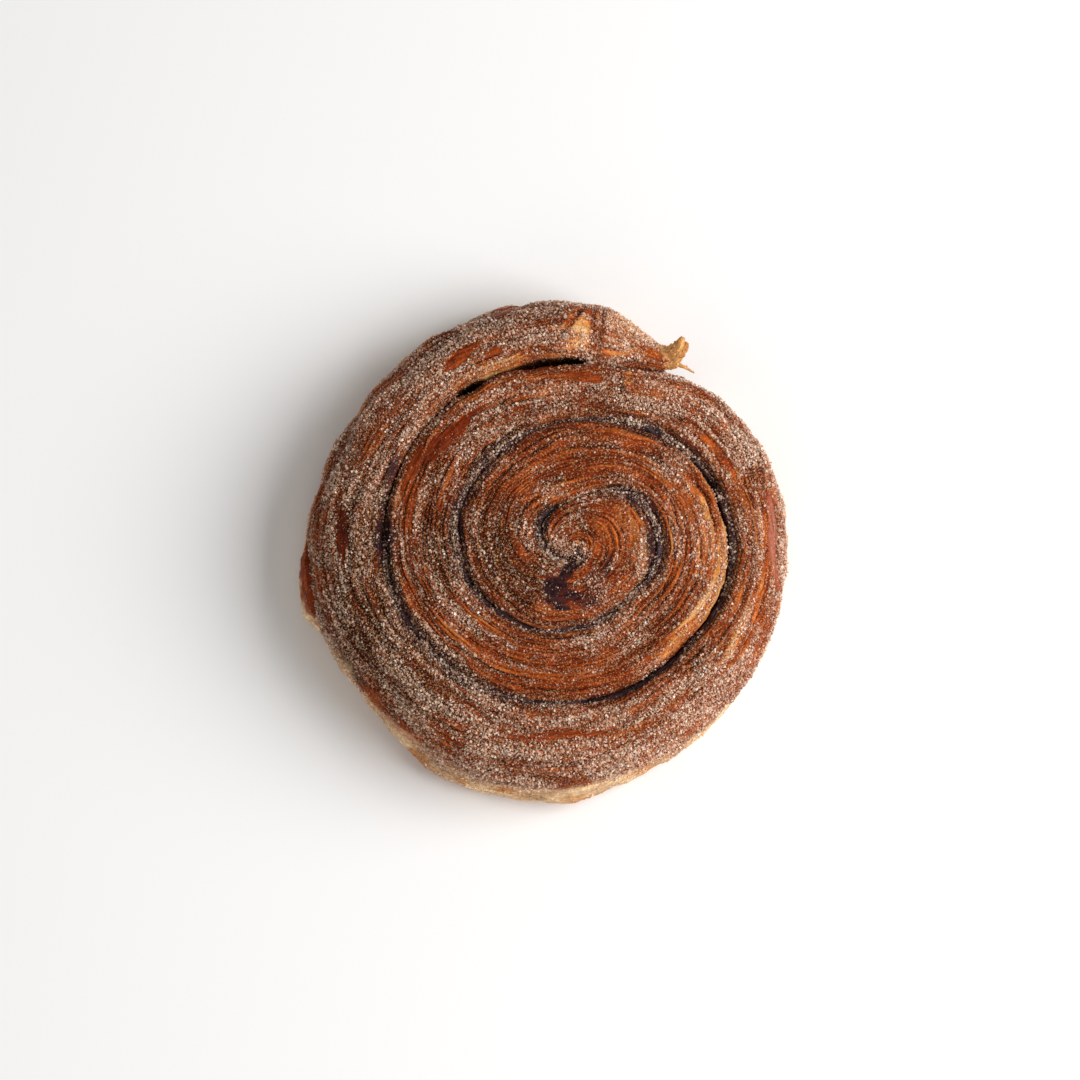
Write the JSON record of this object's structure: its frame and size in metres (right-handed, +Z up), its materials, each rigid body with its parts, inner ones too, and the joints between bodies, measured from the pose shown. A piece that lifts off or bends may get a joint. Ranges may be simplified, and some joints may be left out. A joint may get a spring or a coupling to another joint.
{
  "type": "cinnamon roll",
  "caption": "Round spiral roll of laminated dough with a dark cinnamon seam, a torn loose tail end and a coat of sugar.",
  "frame": {"origin": "middle of the roll's footprint, on the surface that it stands on", "axes": "+Z up out of the spiral's face, +X to the right and +Y away from the viewer in the picture"},
  "size_m": [0.1112, 0.1146, 0.0356],
  "materials": {
    "browned_dough": "baked laminated crust, satin, sugared",
    "dark_filling": "dark cinnamon paste, slightly wet",
    "sugar": "loose granulated sugar with cinnamon"
  },
  "bodies": {
    "root": {"pastry_coil": "browned_dough", "cinnamon_filling": "dark_filling"}
  },
  "joints": []
}
